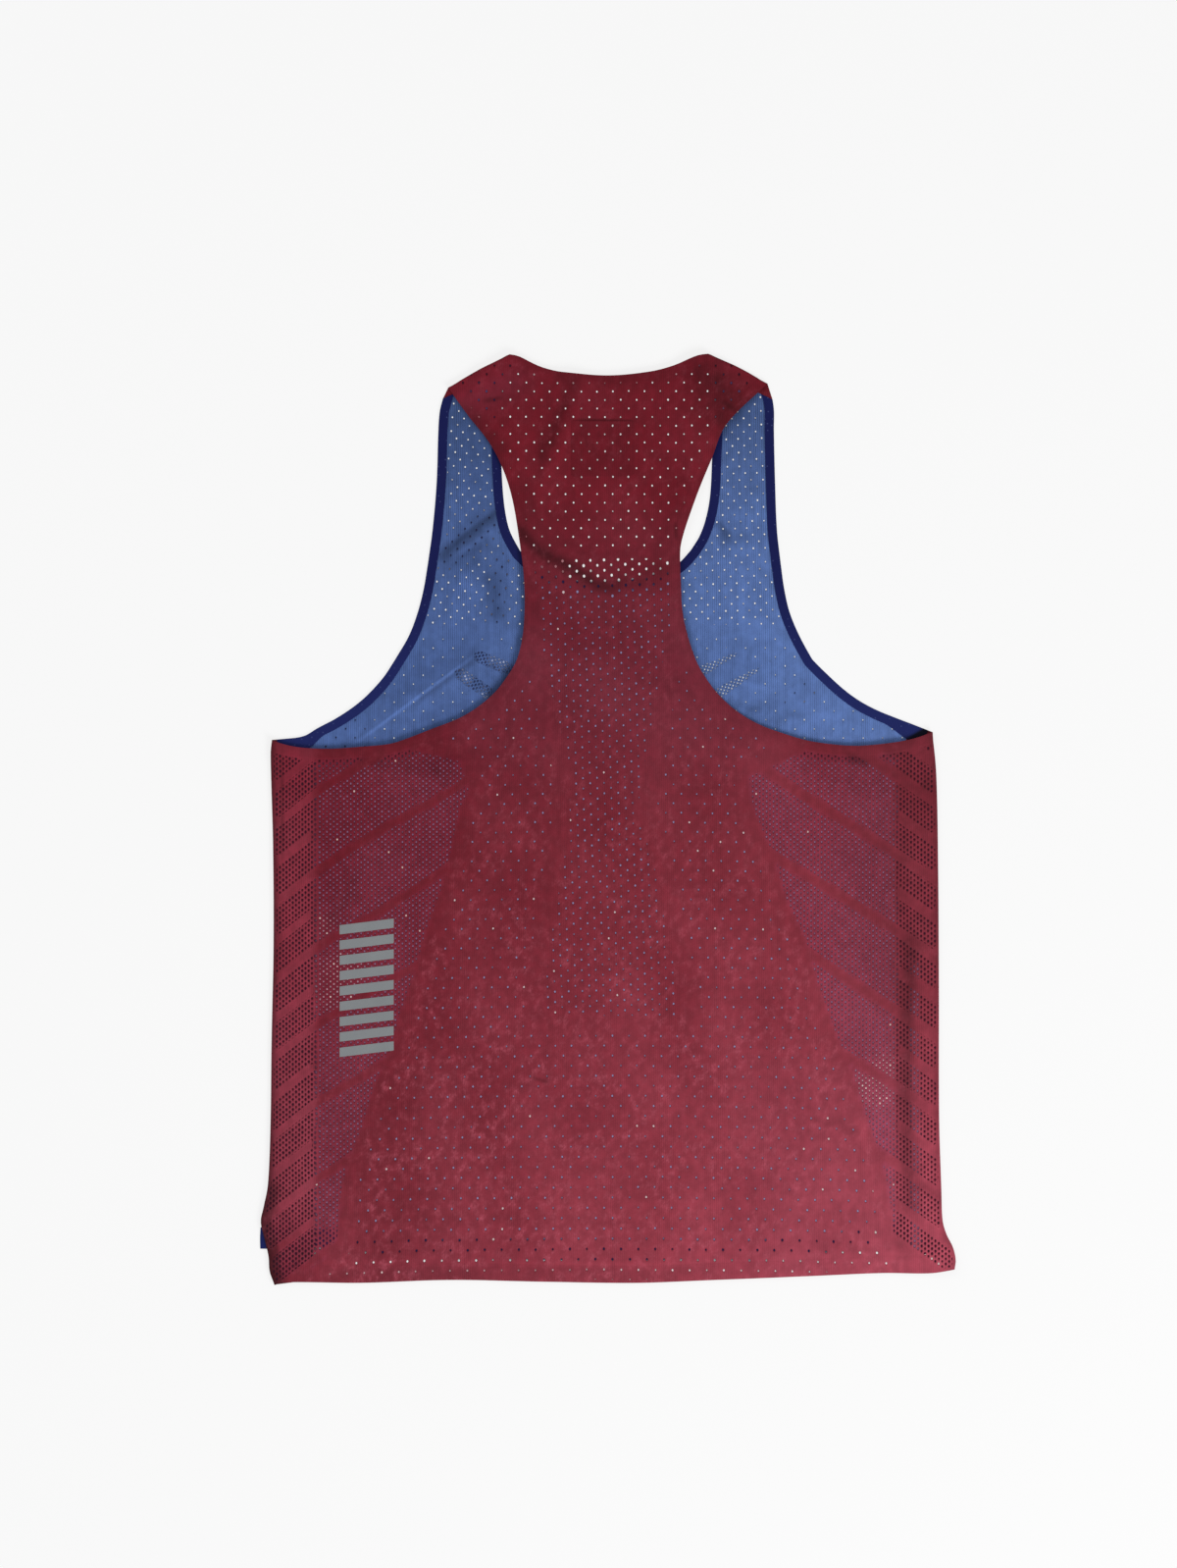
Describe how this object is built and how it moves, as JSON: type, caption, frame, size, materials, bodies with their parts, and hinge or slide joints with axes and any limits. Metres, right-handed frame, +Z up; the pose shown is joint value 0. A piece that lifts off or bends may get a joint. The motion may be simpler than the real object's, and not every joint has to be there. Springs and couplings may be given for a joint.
{
  "type": "running singlet",
  "caption": "Sleeveless running singlet with a racer back, laid flat back up: perforated back wrapping to the front, ribbed wide-strap front and bonded edge tapes.",
  "frame": {"origin": "on the surface under the middle of the laid garment", "axes": "+Y from the hem to the neck, +Z up from the surface through the front panel and then the back panel, +X to the right seen from above"},
  "size_m": [0.5262, 0.7046, 0.0074],
  "materials": {
    "blue_knit": "fine ribbed polyester knit with small holes",
    "maroon_knit": "heathered polyester knit with small holes",
    "navy_tape": "smooth bonded tape",
    "maroon_tape": "smooth bonded tape",
    "label": "smooth bare patch"
  },
  "bodies": {
    "root": {"front_panel": "blue_knit", "back_panel": "maroon_knit", "front_armhole_tape_left": "navy_tape", "front_armhole_tape_right": "navy_tape", "front_neck_tape": "navy_tape", "front_hem_tape": "navy_tape", "back_armhole_tape_left": "maroon_tape", "back_armhole_tape_right": "maroon_tape", "back_neck_tape": "maroon_tape", "back_hem_band": "maroon_knit", "neck_label": "label"}
  },
  "joints": []
}
